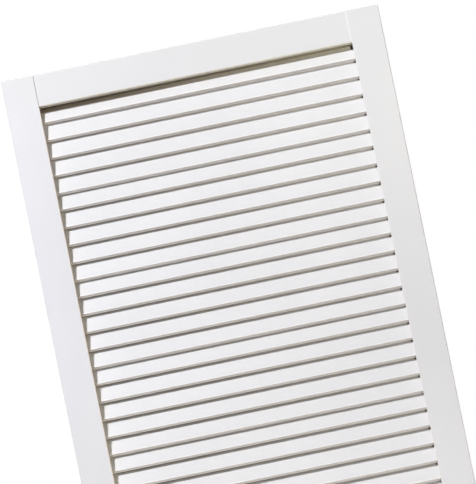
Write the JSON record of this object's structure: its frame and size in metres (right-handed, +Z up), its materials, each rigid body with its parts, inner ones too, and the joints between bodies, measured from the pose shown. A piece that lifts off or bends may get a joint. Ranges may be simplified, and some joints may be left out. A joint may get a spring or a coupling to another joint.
{
  "type": "louvred cabinet door",
  "caption": "Painted louvred cabinet door leaf: stiles and rails dowelled at the corners around fixed sloping slats housed in the stiles.",
  "frame": {"origin": "middle of the leaf's bottom edge", "axes": "+X across the leaf to the right as seen from the front, -Y out of the front face, +Z up the leaf"},
  "size_m": [0.533, 0.028, 0.915],
  "materials": {
    "frame_paint": "satin white paint on softwood",
    "slat_paint": "satin white paint on softwood",
    "dowel_beech": "bare fluted beech"
  },
  "bodies": {
    "root": {"left_stile": "frame_paint", "right_stile": "frame_paint", "top_rail": "frame_paint", "bottom_rail": "frame_paint", "slat_01": "slat_paint", "slat_02": "slat_paint", "slat_03": "slat_paint", "slat_04": "slat_paint", "slat_05": "slat_paint", "slat_06": "slat_paint", "slat_07": "slat_paint", "slat_08": "slat_paint", "slat_09": "slat_paint", "slat_10": "slat_paint", "slat_11": "slat_paint", "slat_12": "slat_paint", "slat_13": "slat_paint", "slat_14": "slat_paint", "slat_15": "slat_paint", "slat_16": "slat_paint", "slat_17": "slat_paint", "slat_18": "slat_paint", "slat_19": "slat_paint", "slat_20": "slat_paint", "slat_21": "slat_paint", "slat_22": "slat_paint", "slat_23": "slat_paint", "slat_24": "slat_paint", "slat_25": "slat_paint", "slat_26": "slat_paint", "slat_27": "slat_paint", "slat_28": "slat_paint", "slat_29": "slat_paint", "slat_30": "slat_paint", "slat_31": "slat_paint", "slat_32": "slat_paint", "slat_33": "slat_paint", "dowel_top_left_upper": "dowel_beech", "dowel_top_left_lower": "dowel_beech", "dowel_top_right_upper": "dowel_beech", "dowel_top_right_lower": "dowel_beech", "dowel_bottom_left_upper": "dowel_beech", "dowel_bottom_left_lower": "dowel_beech", "dowel_bottom_right_upper": "dowel_beech", "dowel_bottom_right_lower": "dowel_beech"}
  },
  "joints": []
}
